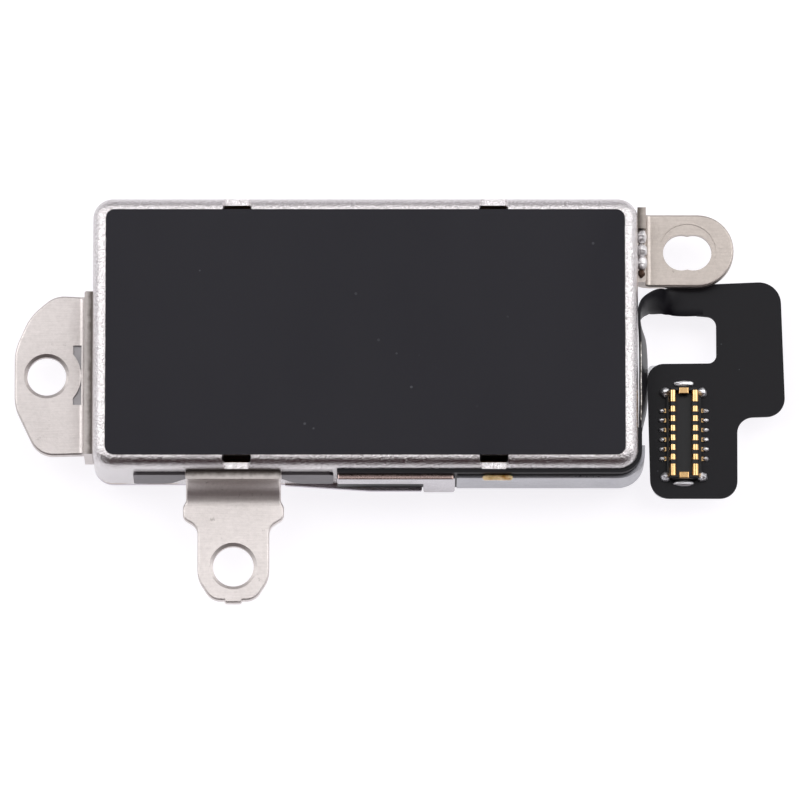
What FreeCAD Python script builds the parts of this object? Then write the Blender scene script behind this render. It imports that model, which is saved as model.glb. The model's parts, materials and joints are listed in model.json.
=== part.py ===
import FreeCAD, Part
import math
import os

# Linear haptic actuator: a sliding weight in a flat steel can, with three mounting ears and a flex tail.
# Millimetres. The origin is the centre of the can's underside, +X runs along the can towards the
# connector, +Y towards its back and +Z up through the film.

V = FreeCAD.Vector
UP = V(0, 0, 1)

# Can
CAN_L = 24.6
CAN_W = 12.42
CAN_H = 4.4
SHEET = 0.3
CAN_CORNER = 0.9
CAN_EDGE = 0.56
BASE_T = 0.3
FILM_T = 0.06
FILM_MARGIN_X = 0.59
FILM_MARGIN_Y = 0.575
FILM_CORNER = 0.4
WINDOW_X = 5.79
WINDOW_TOP_L = 1.36
WINDOW_FOOT_L = 1.06
WINDOW_DEPTH = 0.57
WINDOW_SILL = 3.92
LEDGE = (-3.64, 2.56)
LEDGE_OUT = 0.30

# Brackets: one sheet thickness and one ear level
PLATE = 0.38
EAR_TOP = 2.2
FLANGE_TOP = 3.55
FLANGE_FOOT = 1.0
WING = (-10.46, -1.45)
WING_T = 0.12
WING_TOP = 3.1
WELD_EDGE = 3.2
BEND = 0.25
FRONT_BEND = 1.0
HOLE_RIM = 0.15
HOLE_RIM_DEPTH = 0.1
STAMP_EDGE = 0.1
LEFT_HOLE = (-14.41, -1.60)
LEFT_HOLE_R = 0.88
FRONT_HOLE = (-5.95, -10.33)
FRONT_HOLE_R = 0.92
SLOT_CENTRE = (14.58, 4.12)
SLOT_END_R = 0.83
SLOT_SHIFT = 0.27

# Flex circuit and what covers it
FLEX_T = 0.1
WALL_FLEX_T = 0.16
FLEX_FOOT = 0.4
FLEX_TOP = 3.9
FLEX_START = -1.27
FLEX_LEAVES_Y = -4.3
GUARD_T = 0.14
GUARD_START = 4.12
GUARD_END_Y = -5.0
GUARD_FOOT = 0.9
GUARD_TOP = 3.3
CLIP_T = 0.22
CLIP_END = 4.04
CLIP_TOP = 3.5
CLIP_FOOT = (2.34, 0.34)
TAIL_TOP = 1.6
TAIL_T = 0.12
TAIL_ROOT_X = 15.0
TAIL_ROOT_Y = (1.3, 2.74)
STIFFENER_T = 0.2

# Connector header
HEADER = (14.39, -4.2)
HEADER_W = 1.33
HEADER_FOOT_W = 1.6
HEADER_FOOT_H = 0.17
HEADER_L = 4.16
HEADER_H = 0.6
CHANNEL_W = 0.70
CHANNEL_L = 3.44
CHANNEL_FLOOR = 0.22
PITCH = 0.4424
CONTACTS_PER_SIDE = 6
CONTACT_W = 0.25
POWER_Y = 1.70
POWER_L = 0.52
PLATING = 0.03
CROWN_T = 0.12
SIGNAL_TAIL = 0.9
POWER_TAIL = 0.8
TAIL_GROOVE = 0.075

# Moving weight, magnets and coils
WEIGHT_L = 16.4
WEIGHT_W = 10.6
WEIGHT_FOOT = 1.45
WEIGHT_TOP = 3.75
LIP_FOOT = 0.6
LIP_IN = 7.0
MAGNET_L = 2.3
MAGNET_W = 8.6
MAGNET_H = 1.3
MAGNET_X = (-4.9, -1.3, 1.3, 4.9)
YOKE_T = 0.4
POCKET_L = 12.3
POCKET_W = 8.7
CIRCUIT_T = 0.12
COIL_X = 3.1
COIL_L = 5.6
COIL_W = 8.6
COIL_BAND = 1.9
COIL_H = 0.7
SPRING_T = 0.18
SPRING_Z = (1.6, 3.6)
SPRING_END_Y = (-5.0, -3.2)
WELD_PLATE_T = 0.2
BUMPER_X = (9.1, 9.9)
BUMPER_W = 4.0
BUMPER_TOP = 1.4

HALF_L = CAN_L / 2
HALF_W = CAN_W / 2
IN_L = HALF_L - SHEET
IN_W = HALF_W - SHEET
EAR_FOOT = EAR_TOP - PLATE
TAIL_FOOT = TAIL_TOP - TAIL_T


def box(x0, x1, y0, y1, z0, z1):
    return Part.makeBox(x1 - x0, y1 - y0, z1 - z0, V(x0, y0, z0))


def disc(x, y, radius, z0, z1):
    return Part.makeCylinder(radius, z1 - z0, V(x, y, z0), UP)


def rounded_wire(corners, place):
    """Closed wire through corners (u, v, radius); place turns (u, v) into a point in space."""
    spots = []
    count = len(corners)
    for i, (u, v, radius) in enumerate(corners):
        here = V(u, v, 0)
        back = (V(corners[i - 1][0], corners[i - 1][1], 0) - here).normalize()
        ahead = corners[(i + 1) % count]
        on = (V(ahead[0], ahead[1], 0) - here).normalize()
        half = back.getAngle(on) / 2
        if radius == 0 or half > math.radians(89.5):
            spots.append((here, None, here))
            continue
        reach = radius / math.tan(half)
        middle = (back + on).normalize()
        tip = here + middle * (radius / math.sin(half) - radius)
        spots.append((here + back * reach, tip, here + on * reach))
    edges = []
    for i, (enter, tip, leave) in enumerate(spots):
        if tip is not None:
            edges.append(Part.Arc(place(enter), place(tip), place(leave)).toShape())
        following = spots[(i + 1) % count][0]
        if leave.distanceToPoint(following) > 1e-6:
            edges.append(Part.LineSegment(place(leave), place(following)).toShape())
    return Part.Wire(edges)


def plate(corners, z0, z1):
    """Flat plate with a rounded outline in plan."""
    wire = rounded_wire(corners, lambda p: V(p.x, p.y, z0))
    return Part.Face(wire).extrude(V(0, 0, z1 - z0))


def rounded_block(half_l, half_w, radius, z0, z1):
    corners = [(half_l, half_w), (-half_l, half_w), (-half_l, -half_w), (half_l, -half_w)]
    return plate([(x, y, radius) for x, y in corners], z0, z1)


def strip_corners(path, thickness):
    """Outline of a bent strip from its middle line, a list of (x, y, bend radius)."""
    half = thickness / 2
    points = [V(x, y, 0) for x, y, _ in path]
    sides = ([], [])
    for i, here in enumerate(points):
        turn = 0
        before = (here - points[i - 1]).normalize() if i else None
        after = (points[i + 1] - here).normalize() if i + 1 < len(points) else None
        first = before or after
        last = after or before
        normal = (UP.cross(first) + UP.cross(last)).normalize()
        reach = half / max(0.2, normal.dot(UP.cross(last)))
        if before and after:
            turn = 1 if before.cross(after).z > 0 else -1
        for side, sign in zip(sides, (1, -1)):
            spot = here + normal * (reach * sign)
            radius = max(0, path[i][2] - half * sign * turn) if path[i][2] else 0
            side.append((spot.x, spot.y, radius))
    return sides[0] + sides[1][::-1]


def strip(path, thickness, z0, z1):
    return plate(strip_corners(path, thickness), z0, z1)


def edges_at(shape, test):
    return [edge for edge in shape.Edges if test(edge)]


def lies_at(edge, height):
    limits = edge.BoundBox
    return abs(limits.ZMin - height) < 1e-4 and abs(limits.ZMax - height) < 1e-4


def half_turn(shape):
    copy = shape.copy()
    copy.rotate(V(0, 0, 0), UP, 180)
    return copy


def blob(x, y, z, reach_x, reach_y, height):
    """Small mound of weld or solder on the level z: a block with its top edges cut back."""
    mound = box(x - reach_x, x + reach_x, y - reach_y, y + reach_y, z, z + height)
    cut_back = 0.45 * min(reach_x, reach_y, height)
    return mound.makeChamfer(cut_back, edges_at(mound, lambda edge: lies_at(edge, z + height)))


# ---------------------------------------------------------------- can

def top_cover():
    """Drawn cover: open below, rounded top edges, a window through the edge in four places."""
    shell = rounded_block(HALF_L, HALF_W, CAN_CORNER, BASE_T, CAN_H)
    shell = shell.makeFillet(CAN_EDGE, edges_at(shell, lambda edge: lies_at(edge, CAN_H)))
    hollow = rounded_block(IN_L, IN_W, CAN_CORNER - SHEET, BASE_T - 1, CAN_H - SHEET)
    hollow = hollow.makeFillet(0.12, edges_at(hollow, lambda edge: lies_at(edge, CAN_H - SHEET)))
    shell = shell.cut(hollow)
    foot = WINDOW_FOOT_L / 2
    top = WINDOW_TOP_L / 2
    inner_y = HALF_W - WINDOW_DEPTH
    for x in (-WINDOW_X, WINDOW_X):
        above = CAN_H + 0.1
        outline = [(x - foot, WINDOW_SILL), (x + foot, WINDOW_SILL), (x + top, above), (x - top, above)]
        wire = Part.makePolygon([V(u, inner_y, w) for u, w in outline + outline[:1]])
        window = Part.Face(wire).extrude(V(0, 1, 0))
        shell = shell.cut(window).cut(half_turn(window))
    exit_slot = box(-0.8, 1.4, -HALF_W - 1, -IN_W + 0.2, 0, BASE_T + CIRCUIT_T)
    return shell.cut(exit_slot)


def base_plate():
    """Bottom plate under the cover's walls, with the narrow ledge at the front."""
    bottom = rounded_block(HALF_L, HALF_W, CAN_CORNER, 0, BASE_T)
    ledge_y = -HALF_W - LEDGE_OUT
    ledge = plate(
        [
            (LEDGE[0], -HALF_W + 0.5, 0),
            (LEDGE[0], -HALF_W - 0.05, 0),
            (0.2, ledge_y, 4.0),
            (LEDGE[1], ledge_y, 0.08),
            (LEDGE[1], -HALF_W + 0.5, 0),
        ],
        0,
        BASE_T,
    )
    bottom = bottom.fuse(ledge).removeSplitter()
    return bottom.makeChamfer(0.04, edges_at(bottom, lambda edge: lies_at(edge, 0)))


def cover_film():
    return rounded_block(HALF_L - FILM_MARGIN_X, HALF_W - FILM_MARGIN_Y, FILM_CORNER, CAN_H, CAN_H + FILM_T)


# ---------------------------------------------------------------- brackets

def bent_sheet(reach, y0, y1, bend=BEND):
    """Sheet bent to an L: a flange up a wall at u = 0 and an ear reaching out along u, width y0 to y1."""
    mid = PLATE / 2
    path = [(mid, FLANGE_TOP, 0), (mid, EAR_TOP - mid, bend + mid), (reach, EAR_TOP - mid, 0)]
    wire = rounded_wire(strip_corners(path, PLATE), lambda p: V(p.x, y0, p.y))
    return Part.Face(wire).extrude(V(0, y1 - y0, 0))


def drill(ear, x, y, radius):
    """Round hole with its rim rounded off at the top."""
    ear = ear.cut(disc(x, y, radius, EAR_FOOT - 1, EAR_TOP + 1))
    rim = Part.makeCone(radius, radius + HOLE_RIM, HOLE_RIM_DEPTH, V(x, y, EAR_TOP - HOLE_RIM_DEPTH), UP)
    return ear.cut(rim)


def soften_outline(ear, beyond):
    """Roll the ear's top outline over a little, as stamping does, where beyond(edge) holds."""
    picked = edges_at(ear, lambda edge: lies_at(edge, EAR_TOP) and beyond(edge.BoundBox.Center))
    return ear.makeFillet(STAMP_EDGE, picked)


def left_bracket():
    """D-shaped ear with a round hole and a coined pocket beside the bend."""
    sheet = bent_sheet(4.2, -6, 6)
    sheet.rotate(V(0, 0, 0), UP, 180)
    sheet.translate(V(-HALF_L, 0, 0))
    ear = plate(
        [
            (-HALF_L, 2.03, 0),
            (-14.05, 2.12, 1.2),
            (-15.18, 1.17, 2.5),
            (-15.86, -0.40, 2.2),
            (-15.86, -3.00, 1.8),
            (-14.78, -5.28, 1.1),
            (-HALF_L, -5.22, 0),
        ],
        0,
        CAN_H,
    )
    flange = box(-HALF_L - PLATE, -HALF_L, -5.44, 1.96, FLANGE_FOOT, FLANGE_TOP)
    body = sheet.common(ear)
    body = soften_outline(body, lambda c: c.x < -HALF_L - 0.8)
    body = body.fuse(flange).removeSplitter()
    body = drill(body, *LEFT_HOLE, LEFT_HOLE_R)
    pocket = box(-13.22, -12.84, -2.93, -0.19, EAR_TOP - 0.12, EAR_TOP + 0.3)
    pocket = pocket.cut(disc(*LEFT_HOLE, 1.56, 0, CAN_H))
    return body.cut(pocket)


def front_bracket():
    """Narrow ear with shoulders, a waist and a nub; thin wings beside its flange run along the wall."""
    axis = FRONT_HOLE[0]
    half = [
        (2.14, -HALF_W, 0),
        (2.14, -7.35, 0.25),
        (2.28, -7.62, 0.3),
        (2.28, -8.15, 0.35),
        (1.62, -8.55, 0.55),
        (1.62, -10.90, 1.3),
        (0.98, -11.90, 0.75),
    ]
    outline = [(axis + u, y, r) for u, y, r in half]
    outline += [(axis - u, y, r) for u, y, r in half[::-1]]
    sheet = bent_sheet(6.6, -3.4, 3.4, FRONT_BEND)
    sheet.rotate(V(0, 0, 0), UP, -90)
    sheet.translate(V(axis, -HALF_W, 0))
    nub = [(axis + 0.52, -11.7), (axis + 0.34, -12.02), (axis - 0.34, -12.02), (axis - 0.52, -11.7)]
    ear = plate(outline, 0, CAN_H).fuse(plate([(x, y, 0.1) for x, y in nub], 0, CAN_H)).removeSplitter()
    body = sheet.common(ear)
    body = soften_outline(body, lambda c: c.y < -HALF_W - 0.8)
    wings = [
        (WING[0], WING_TOP, 0.2),
        (WING[0], FLANGE_FOOT, 0.2),
        (axis - 2.9, FLANGE_FOOT, 0.6),
        (axis - 2.14, EAR_TOP, 0.3),
        (axis + 2.14, EAR_TOP, 0.3),
        (axis + 2.9, FLANGE_FOOT, 0.6),
        (WING[1], FLANGE_FOOT, 0.2),
        (WING[1], WING_TOP, 0.2),
    ]
    wire = rounded_wire(wings, lambda p: V(p.x, -HALF_W, p.y))
    body = body.fuse(Part.Face(wire).extrude(V(0, -WING_T, 0))).removeSplitter()
    return drill(body, *FRONT_HOLE, FRONT_HOLE_R)


def right_bracket():
    """Ear with a round end and a slot; its flange has a tall tab at the back and a low welded edge."""
    sheet = bent_sheet(6, 0, 7)
    sheet.translate(V(HALF_L, 0, 0))
    end_r = 1.64
    corners = [(HALF_L, 2.53, 0), (16.68, 2.53, end_r), (16.68, 5.86, end_r), (HALF_L, 5.86, 0)]
    ear = plate(corners, 0, CAN_H)
    body = sheet.common(ear)
    body = soften_outline(body, lambda c: c.x > HALF_L + 0.8)
    body = body.cut(box(HALF_L - 1, HALF_L + PLATE, 0, 4.95, WELD_EDGE, CAN_H))
    tab = box(HALF_L, HALF_L + PLATE, 4.95, 5.92, FLANGE_FOOT, FLANGE_TOP)
    body = body.fuse(tab).removeSplitter()
    x, y = SLOT_CENTRE
    seat = disc(x, y, 1.31, EAR_TOP - 0.04, EAR_TOP + 1)
    body = body.cut(seat)
    for shift in (-SLOT_SHIFT, SLOT_SHIFT):
        body = body.cut(disc(x + shift, y, SLOT_END_R, EAR_FOOT - 1, EAR_TOP + 1))
    return body


def weld_beads():
    """Three long laser-weld beads and a small one on the low edge of the right bracket's flange."""
    x = HALF_L + PLATE / 2
    beads = []
    for y in (4.62, 3.99, 3.40):
        beads.append(blob(x, y, WELD_EDGE, 0.185, 0.3, 0.2))
    beads.append(blob(x, 2.92, WELD_EDGE, 0.14, 0.16, 0.12))
    return Part.makeCompound(beads)


# ---------------------------------------------------------------- front clip, guard and bead

def front_clip():
    """Bright stepped plate over the flex exit; its right end reaches further down."""
    y = -HALF_W - WALL_FLEX_T - 0.01
    step = LEDGE[1] + 0.06
    high, low = CLIP_FOOT
    face = [
        (FLEX_START, CLIP_TOP, 0.1),
        (FLEX_START, high, 0.1),
        (step, high, 0.12),
        (step, low, 0.12),
        (CLIP_END, low, 0.2),
        (CLIP_END, CLIP_TOP, 0.15),
    ]
    wire = rounded_wire(face, lambda p: V(p.x, y, p.y))
    clip = Part.Face(wire).extrude(V(0, -CLIP_T, 0))
    front = y - CLIP_T
    picked = edges_at(clip, lambda edge: edge.BoundBox.YMax < front + 1e-4)
    return clip.makeChamfer(0.04, picked)


def wrap_path(offset, start_x, end_y):
    """Middle line that follows the front wall and the right wall at an offset from the can."""
    y = -HALF_W - offset
    x = HALF_L + offset
    return [(start_x, y, 0), (x, y, CAN_CORNER + offset), (x, end_y, 0)]


def flex_guard():
    path = wrap_path(WALL_FLEX_T + 0.005 + GUARD_T / 2, GUARD_START, GUARD_END_Y)
    return strip(path, GUARD_T, GUARD_FOOT, GUARD_TOP)


def glue_bead():
    """Amber bead lying on the guard's top edge under the right-hand window."""
    radius = 0.13
    y = -HALF_W - WALL_FLEX_T - radius - 0.01
    z = GUARD_TOP + radius + 0.005
    start = 5.40
    end = 6.52
    rod = Part.makeCylinder(radius, end - start, V(start, y, z), V(1, 0, 0))
    for x in (start, end):
        rod = rod.fuse(Part.makeSphere(radius, V(x, y, z)))
    return rod.removeSplitter()


# ---------------------------------------------------------------- flex circuit

def flex_wall_strip():
    path = wrap_path(WALL_FLEX_T / 2, FLEX_START, FLEX_LEAVES_Y)
    return strip(path, WALL_FLEX_T, FLEX_FOOT, FLEX_TOP)


def ribbon_stations():
    """Middle of the free ribbon, its width and its twist (0 on edge, 90 flat), from wall to tail."""
    flat = TAIL_TOP - TAIL_T / 2
    return [
        (HALF_L + WALL_FLEX_T / 2, FLEX_LEAVES_Y + 0.02, 2.15, 3.0, 0),
        (12.45, -3.70, 2.20, 2.60, 3),
        (12.54, -2.95, 2.22, 2.40, 7),
        (12.57, -2.10, 2.25, 2.30, 9),
        (12.57, -1.30, 2.28, 2.20, 9),
        (12.56, -0.55, 2.30, 2.10, 9),
        (12.52, 0.15, 2.33, 2.00, 8),
        (12.43, 0.65, 2.35, 1.94, 4),
        (12.37, 1.00, 2.35, 1.88, 0),
        (12.44, 1.30, 2.33, 1.82, 5),
        (12.60, 1.53, 2.25, 1.74, 13),
        (12.80, 1.70, 2.15, 1.64, 21),
        (13.30, 1.90, 1.90, 1.42, 42),
        (13.65, 1.95, 1.60, 1.22, 66),
        (13.95, 1.98, 1.54, 1.32, 82),
        (14.45, 2.00, flat, 1.42, 89),
        (TAIL_ROOT_X - 0.01, 2.02, flat, 1.44, 90),
    ]


def flex_loop():
    """Ribbon that springs off the right wall on edge and twists flat to become the tail."""
    stations = ribbon_stations()
    sections = []
    for i, (x, y, z, width, twist) in enumerate(stations):
        before = stations[max(0, i - 1)]
        after = stations[min(len(stations) - 1, i + 1)]
        along = V(after[0] - before[0], after[1] - before[1], 0).normalize()
        if i + 1 == len(stations):
            along = V(1, 0, 0)
        if i == 0:
            along = V(0, 1, 0)
        left = UP.cross(along)
        angle = math.radians(twist)
        across = UP * math.cos(angle) + left * math.sin(angle)
        through = along.cross(across)
        centre = V(x, y, z)
        rim = []
        for a, b in ((-1, -1), (1, -1), (1, 1), (-1, 1)):
            rim.append(centre + across * (a * width / 2) + through * (b * FLEX_T / 2))
        sections.append(Part.makePolygon(rim + rim[:1]))
    return Part.makeLoft(sections, True, True)


def flex_tail():
    """Flat end of the flex: out under the right ear, back round a square gap to the connector pad."""
    outline = [
        (TAIL_ROOT_X, TAIL_ROOT_Y[1], 0),
        (18.80, 2.90, 1.0),
        (19.00, -3.33, 0.85),
        (16.82, -3.40, 0.72),
        (16.81, -7.12, 0.8),
        (12.88, -7.12, 0.85),
        (12.74, -0.92, 0.75),
        (15.88, -0.89, 0.37),
        (15.88, 1.22, 0.45),
        (TAIL_ROOT_X, TAIL_ROOT_Y[0], 0),
    ]
    return plate(outline, TAIL_FOOT, TAIL_TOP)


def connector_stiffener():
    """Thin steel plate under the pad; its squarer corners peep out past the flex."""
    outline = [(16.74, -7.05, 0.6), (12.95, -7.05, 0.6), (12.79, -0.97, 0.2), (16.74, -0.97, 0.4)]
    return plate(outline, TAIL_FOOT - STIFFENER_T, TAIL_FOOT)


# ---------------------------------------------------------------- connector header

def at_header(shapes):
    group = Part.makeCompound(shapes) if len(shapes) > 1 else shapes[0]
    group.translate(V(HEADER[0], HEADER[1], TAIL_TOP))
    return group


def contact_rows():
    first = -(CONTACTS_PER_SIDE - 1) / 2
    return [(first + i) * PITCH for i in range(CONTACTS_PER_SIDE)]


def header_housing():
    """Moulded block with a foot flange and a channel down its middle; contacts clip over its long rims."""
    half_w = HEADER_W / 2 - PLATING
    block = rounded_block(half_w, HEADER_L / 2, 0.08, 0, HEADER_H)
    block = block.makeChamfer(0.05, edges_at(block, lambda edge: lies_at(edge, HEADER_H)))
    foot = rounded_block(HEADER_FOOT_W / 2, HEADER_L / 2 - 0.1, 0.08, 0, HEADER_FOOT_H)
    foot = foot.makeChamfer(0.03, edges_at(foot, lambda edge: lies_at(edge, HEADER_FOOT_H)))
    block = block.fuse(foot).removeSplitter()
    half_channel = CHANNEL_W / 2 + PLATING
    block = block.cut(box(-half_channel, half_channel, -CHANNEL_L / 2, CHANNEL_L / 2, CHANNEL_FLOOR, 1))
    clasp = [(y, CONTACT_W) for y in contact_rows()] + [(-POWER_Y, POWER_L), (POWER_Y, POWER_L)]
    for y, length in clasp:
        y0 = y - length / 2
        y1 = y + length / 2
        block = block.cut(box(-1, 1, y0, y1, HEADER_H - CROWN_T, 1))
        block = block.cut(box(-half_channel, half_channel, y0, y1, CHANNEL_FLOOR, 1))
        groove = box(half_w, 1, y0 - 0.01, y1 + 0.01, 0, TAIL_GROOVE)
        leg_gap = box(half_w, HEADER_W / 2 + 0.005, y0 - 0.01, y1 + 0.01, 0, 1)
        for gap in (groove, leg_gap):
            block = block.cut(gap).cut(half_turn(gap))
    for side in (-1, 1):
        y = side * (HEADER_L / 2 - 0.14)
        block = block.cut(box(-0.23, 0.23, y - 0.17, y + 0.17, HEADER_H - 0.1, 1))
    return at_header([block])


def contact(y, length, crown, tail):
    """Gold-plated strip bent over the right-hand rim: outer leg, crown, inner leg and solder tail."""
    outer_x = HEADER_W / 2
    inner_x = CHANNEL_W / 2
    top = HEADER_H + crown
    arch = [
        (outer_x, 0.02, 0),
        (outer_x, top, 0.14),
        (inner_x, top, 0.14),
        (inner_x, CHANNEL_FLOOR + 0.01, 0),
        (inner_x + PLATING - 0.002, CHANNEL_FLOOR + 0.01, 0),
        (inner_x + PLATING - 0.002, HEADER_H - CROWN_T + 0.002, 0),
        (outer_x - PLATING + 0.002, HEADER_H - CROWN_T + 0.002, 0),
        (outer_x - PLATING + 0.002, 0.02, 0),
    ]
    wire = rounded_wire(arch, lambda p: V(p.x, y - length / 2, p.y))
    strip_solid = Part.Face(wire).extrude(V(0, length, 0))
    foot = box(outer_x - 0.01, tail, y - length * 0.36, y + length * 0.36, 0.02, 0.07)
    return strip_solid.fuse(foot).removeSplitter()


def both_sides(y, length, crown, tail):
    right = contact(y, length, crown, tail)
    left = contact(-y, length, crown, tail)
    left.rotate(V(0, 0, 0), UP, 180)
    return [right, left]


def signal_contacts():
    parts = []
    for y in contact_rows():
        parts += both_sides(y, CONTACT_W, 0.0, SIGNAL_TAIL)
    return at_header(parts)


def power_contacts():
    parts = []
    for y in (-POWER_Y, POWER_Y):
        parts += both_sides(y, POWER_L, 0.03, POWER_TAIL)
    return at_header(parts)


def holddown_clips():
    """Gold-plated end clips, one at each end of the channel."""
    parts = []
    for side in (-1, 1):
        y = side * (HEADER_L / 2 - 0.14)
        clip = box(-0.22, 0.22, y - 0.15, y + 0.15, HEADER_H - 0.095, HEADER_H + 0.01)
        parts.append(clip.makeFillet(0.04, edges_at(clip, lambda edge: lies_at(edge, HEADER_H + 0.01))))
    return at_header(parts)


def solder_joints():
    """Solder at each lead, at the four corners and in a strip off each end."""
    parts = []
    for y in contact_rows():
        for side in (-1, 1):
            parts.append(blob(side * 1.01, y, 0.001, 0.105, 0.085, 0.1))
    for end in (-1, 1):
        for side in (-1, 1):
            parts.append(blob(side * 0.95, end * (POWER_Y + 0.18), 0.001, 0.14, 0.18, 0.2))
    parts.append(blob(0, HEADER_L / 2 + 0.3, 0.001, 0.45, 0.12, 0.16))
    parts.append(blob(0, -HEADER_L / 2 - 0.14, 0.001, 0.45, 0.11, 0.16))
    return at_header(parts)


# ---------------------------------------------------------------- inside: fixed parts

def inner_circuit():
    """Flex circuit on the bottom plate, with a tongue out through the slot in the front wall."""
    top = BASE_T + CIRCUIT_T
    sheet = rounded_block(8.9, IN_W - 0.1, 0.5, BASE_T, top)
    tongue = box(-0.78, 1.38, -HALF_W, -IN_W + 0.5, BASE_T, top - 0.005)
    return sheet.fuse(tongue).removeSplitter()


def coil(x):
    """Flat racetrack coil wound round an open middle."""
    z = BASE_T + CIRCUIT_T
    outer = rounded_block(COIL_L / 2, COIL_W / 2, 2.2, z, z + COIL_H)
    hole = rounded_block(COIL_L / 2 - COIL_BAND, COIL_W / 2 - COIL_BAND, 0.4, z - 1, z + COIL_H + 1)
    winding = outer.cut(hole)
    winding.translate(V(x, 0, 0))
    return winding


def coil_leads():
    """Solder pads where the coil ends meet the circuit."""
    z = BASE_T + CIRCUIT_T
    return Part.makeCompound([blob(x, -5.1, z, 0.3, 0.3, 0.2) for x in (-4.0, -2.2, 2.2, 4.0)])


def position_sensor():
    z = BASE_T + CIRCUIT_T
    chip = box(-0.24, 0.24, 2.6, 3.5, z, z + 0.4)
    return chip.makeChamfer(0.04, edges_at(chip, lambda edge: lies_at(edge, z + 0.4)))


def end_bumper():
    x0, x1 = BUMPER_X
    block = box(x0, x1, -BUMPER_W / 2, BUMPER_W / 2, BASE_T, BUMPER_TOP)
    return block.makeFillet(0.2, edges_at(block, lambda edge: lies_at(edge, BUMPER_TOP)))


def anchor_plate():
    y0, y1 = SPRING_END_Y
    return box(IN_L - WELD_PLATE_T, IN_L, y0, y1, *SPRING_Z)


def leaf_spring():
    """Folded leaf spring between the weight's right end and the can's right wall."""
    y0, y1 = SPRING_END_Y
    near = WEIGHT_L / 2 + WELD_PLATE_T + SPRING_T / 2
    far = IN_L - WELD_PLATE_T - SPRING_T / 2
    middle = (near + far) / 2
    path = [
        (near, y0, 0),
        (near, y1, 0.8),
        (middle - 0.5, 4.95, 0.42),
        (middle + 0.5, 4.95, 0.42),
        (far, y1, 0.8),
        (far, y0, 0),
    ]
    return strip(path, SPRING_T, *SPRING_Z)


# ---------------------------------------------------------------- inside: moving parts

def weight_block():
    """Tungsten alloy block with a pocket below for the magnets and a lip under each end."""
    half_l = WEIGHT_L / 2
    half_w = WEIGHT_W / 2
    block = rounded_block(half_l, half_w, 0.4, LIP_FOOT, WEIGHT_TOP)
    block = block.makeChamfer(0.2, edges_at(block, lambda edge: lies_at(edge, WEIGHT_TOP)))
    block = block.cut(box(-LIP_IN, LIP_IN, -half_w - 1, half_w + 1, 0, WEIGHT_FOOT))
    pocket_top = WEIGHT_FOOT + MAGNET_H + YOKE_T
    return block.cut(box(-POCKET_L / 2, POCKET_L / 2, -POCKET_W / 2, POCKET_W / 2, 0, pocket_top))


def magnet(x):
    half_l = MAGNET_L / 2
    half_w = MAGNET_W / 2
    bar = box(x - half_l, x + half_l, -half_w, half_w, WEIGHT_FOOT, WEIGHT_FOOT + MAGNET_H)
    return bar.makeChamfer(0.08, bar.Edges)


def yoke_plate():
    z = WEIGHT_FOOT + MAGNET_H
    return box(-POCKET_L / 2 + 0.05, POCKET_L / 2 - 0.05, -MAGNET_W / 2, MAGNET_W / 2, z, z + YOKE_T)


def weight_plate():
    y0, y1 = SPRING_END_Y
    return box(WEIGHT_L / 2, WEIGHT_L / 2 + WELD_PLATE_T, y0, y1, *SPRING_Z)


def main():
    os.makedirs("parts", exist_ok=True)
    nodes = {
        "top_cover": top_cover(),
        "base_plate": base_plate(),
        "cover_film": cover_film(),
        "left_bracket": left_bracket(),
        "front_bracket": front_bracket(),
        "right_bracket": right_bracket(),
        "weld_beads": weld_beads(),
        "front_clip": front_clip(),
        "flex_guard": flex_guard(),
        "glue_bead": glue_bead(),
        "flex_wall_strip": flex_wall_strip(),
        "flex_loop": flex_loop(),
        "flex_tail": flex_tail(),
        "connector_stiffener": connector_stiffener(),
        "header_housing": header_housing(),
        "signal_contacts": signal_contacts(),
        "power_contacts": power_contacts(),
        "holddown_clips": holddown_clips(),
        "solder_joints": solder_joints(),
        "inner_circuit": inner_circuit(),
        "coil_left": coil(-COIL_X),
        "coil_right": coil(COIL_X),
        "coil_leads": coil_leads(),
        "position_sensor": position_sensor(),
        "weight_block": weight_block(),
        "yoke_plate": yoke_plate(),
    }
    for number, x in enumerate(MAGNET_X, 1):
        nodes["magnet_%d" % number] = magnet(x)
    paired = {
        "spring": leaf_spring(),
        "anchor_plate": anchor_plate(),
        "weight_plate": weight_plate(),
        "end_bumper": end_bumper(),
    }
    for name, shape in paired.items():
        nodes[name + "_right"] = shape
        nodes[name + "_left"] = half_turn(shape)
    for name, shape in nodes.items():
        shape.exportStep("parts/%s.step" % name)
        print(name, "valid" if shape.isValid() else "INVALID", len(shape.Solids), round(shape.Volume, 4))


main()
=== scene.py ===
import json
import math

import bmesh
import bpy
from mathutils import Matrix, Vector, noise

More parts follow.
